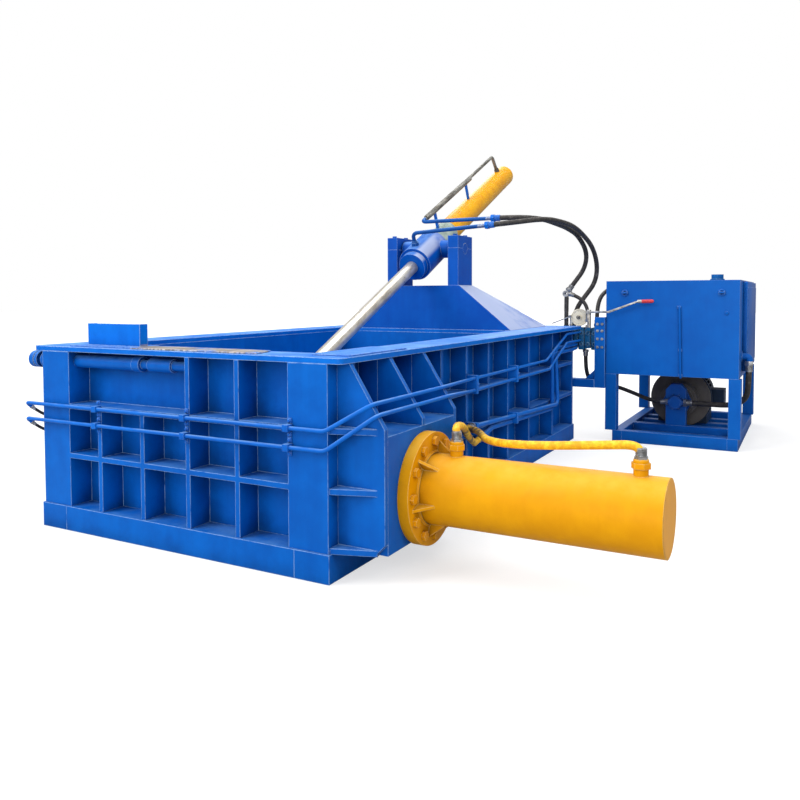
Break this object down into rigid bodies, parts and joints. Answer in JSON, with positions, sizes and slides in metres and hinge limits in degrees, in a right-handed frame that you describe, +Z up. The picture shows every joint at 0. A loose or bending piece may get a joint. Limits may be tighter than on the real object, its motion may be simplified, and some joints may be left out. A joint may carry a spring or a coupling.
{
  "type": "recycling baler",
  "caption": "Scrap metal baling press in blue with yellow hydraulic cylinders, a hinged lid, a sliding bale door and its pump unit.",
  "frame": {"origin": "on the floor, under the middle of the press box", "axes": "+Z is up; the front end of the press box faces -Y, the side ram is on +X, the bale door on -X and the pump unit stands at the rear right"},
  "size_m": [3.783, 6.11, 2.8611],
  "materials": {
    "bare_steel": "bare wear plate, scratched by scrap",
    "blue_paint": "strong blue paint, worn bright along plate edges, dusty on flat tops",
    "cast_grey": "grey cast iron",
    "dark_grey_paint": "dark grey paint",
    "rod_chrome": "hard chromed rod",
    "valve_teal": "teal painted valve body",
    "yellow_paint": "golden yellow gloss paint with oil streaks",
    "zinc_steel": "zinc plated fittings"
  },
  "bodies": {
    "press": {"base_cross_beams": "blue_paint", "base_side_beams": "blue_paint", "bell_housing": "cast_grey", "bolts": "zinc_steel", "chamber_liners": "blue_paint", "clamp_cylinder": "yellow_paint", "door_cylinder": "yellow_paint", "door_rails": "blue_paint", "floor_plate": "bare_steel", "front_wall": "blue_paint", "left_wall": "blue_paint", "lid_hinge_brackets": "blue_paint", "lid_hinge_pin": "bare_steel", "main_cylinder_barrel": "yellow_paint", "motor": "dark_grey_paint", "oil_tank": "blue_paint", "outlet_frame": "blue_paint", "pump": "blue_paint", "pump_skid": "blue_paint", "ram_port_frame": "blue_paint", "rear_wall": "blue_paint", "right_wall": "blue_paint", "rim_fittings": "blue_paint", "rim_flange": "blue_paint", "side_cylinder_barrel": "yellow_paint", "side_ram_housing": "blue_paint", "tank_legs": "blue_paint", "thrust_wall": "blue_paint", "tower": "blue_paint", "trunnion_caps": "blue_paint", "valve_block": "valve_teal", "valve_stand": "blue_paint"},
    "lid": {"lid": "blue_paint", "rod_eye_pin": "bare_steel"},
    "lid_cylinder": {"lid_cylinder_head": "blue_paint", "lid_barrel": "yellow_paint"},
    "lid_rod": {"lid_rod": "rod_chrome"},
    "side_ram": {"side_pusher": "bare_steel", "side_rod": "rod_chrome"},
    "main_ram": {"main_pusher": "bare_steel", "main_ram_rod": "rod_chrome"},
    "bale_door": {"bale_door": "blue_paint", "door_rod": "rod_chrome"},
    "door_clamp": {"clamp_rod": "blue_paint"},
    "filler_cap": {"filler_cap": "dark_grey_paint"}
  },
  "joints": [
    {"name": "lid_hinge", "type": "hinge", "parent": "press", "child": "lid", "pos_m": [0, 0.47054, 0.73], "axis": [-1, 0, 0], "range_deg": [0, 80]},
    {"name": "lid_cylinder_swing", "type": "hinge", "parent": "press", "child": "lid_cylinder", "pos_m": [0, 1.1, 1.831], "axis": [-1, 0, 0], "range_deg": [0, 40]},
    {"name": "lid_rod_eye", "type": "hinge", "parent": "lid", "child": "lid_rod", "pos_m": [0, -0.785, 0.909], "axis": [-1, 0, 0], "range_deg": [-40, 0]},
    {"name": "side_ram_slide", "type": "slide", "parent": "press", "child": "side_ram", "axis": [-1, 0, 0], "range_m": [0, 1]},
    {"name": "main_ram_slide", "type": "slide", "parent": "press", "child": "main_ram", "axis": [0, -1, 0], "range_m": [0, 1.72]},
    {"name": "bale_door_slide", "type": "slide", "parent": "press", "child": "bale_door", "axis": [0, 1, 0], "range_m": [0, 0.66]},
    {"name": "door_clamp_slide", "type": "slide", "parent": "press", "child": "door_clamp", "axis": [-1, 0, 0], "range_m": [0, 0.05]},
    {"name": "filler_cap_turn", "type": "hinge", "parent": "press", "child": "filler_cap", "pos_m": [2.33, 2.345, 1.543], "axis": [0, 0, 1], "range_deg": [0, 90]}
  ],
  "couplings": [
    {"joint": "lid_cylinder_swing", "follows": "lid_hinge", "ratio": 0.5},
    {"joint": "lid_rod_eye", "follows": "lid_hinge", "ratio": -0.5}
  ]
}
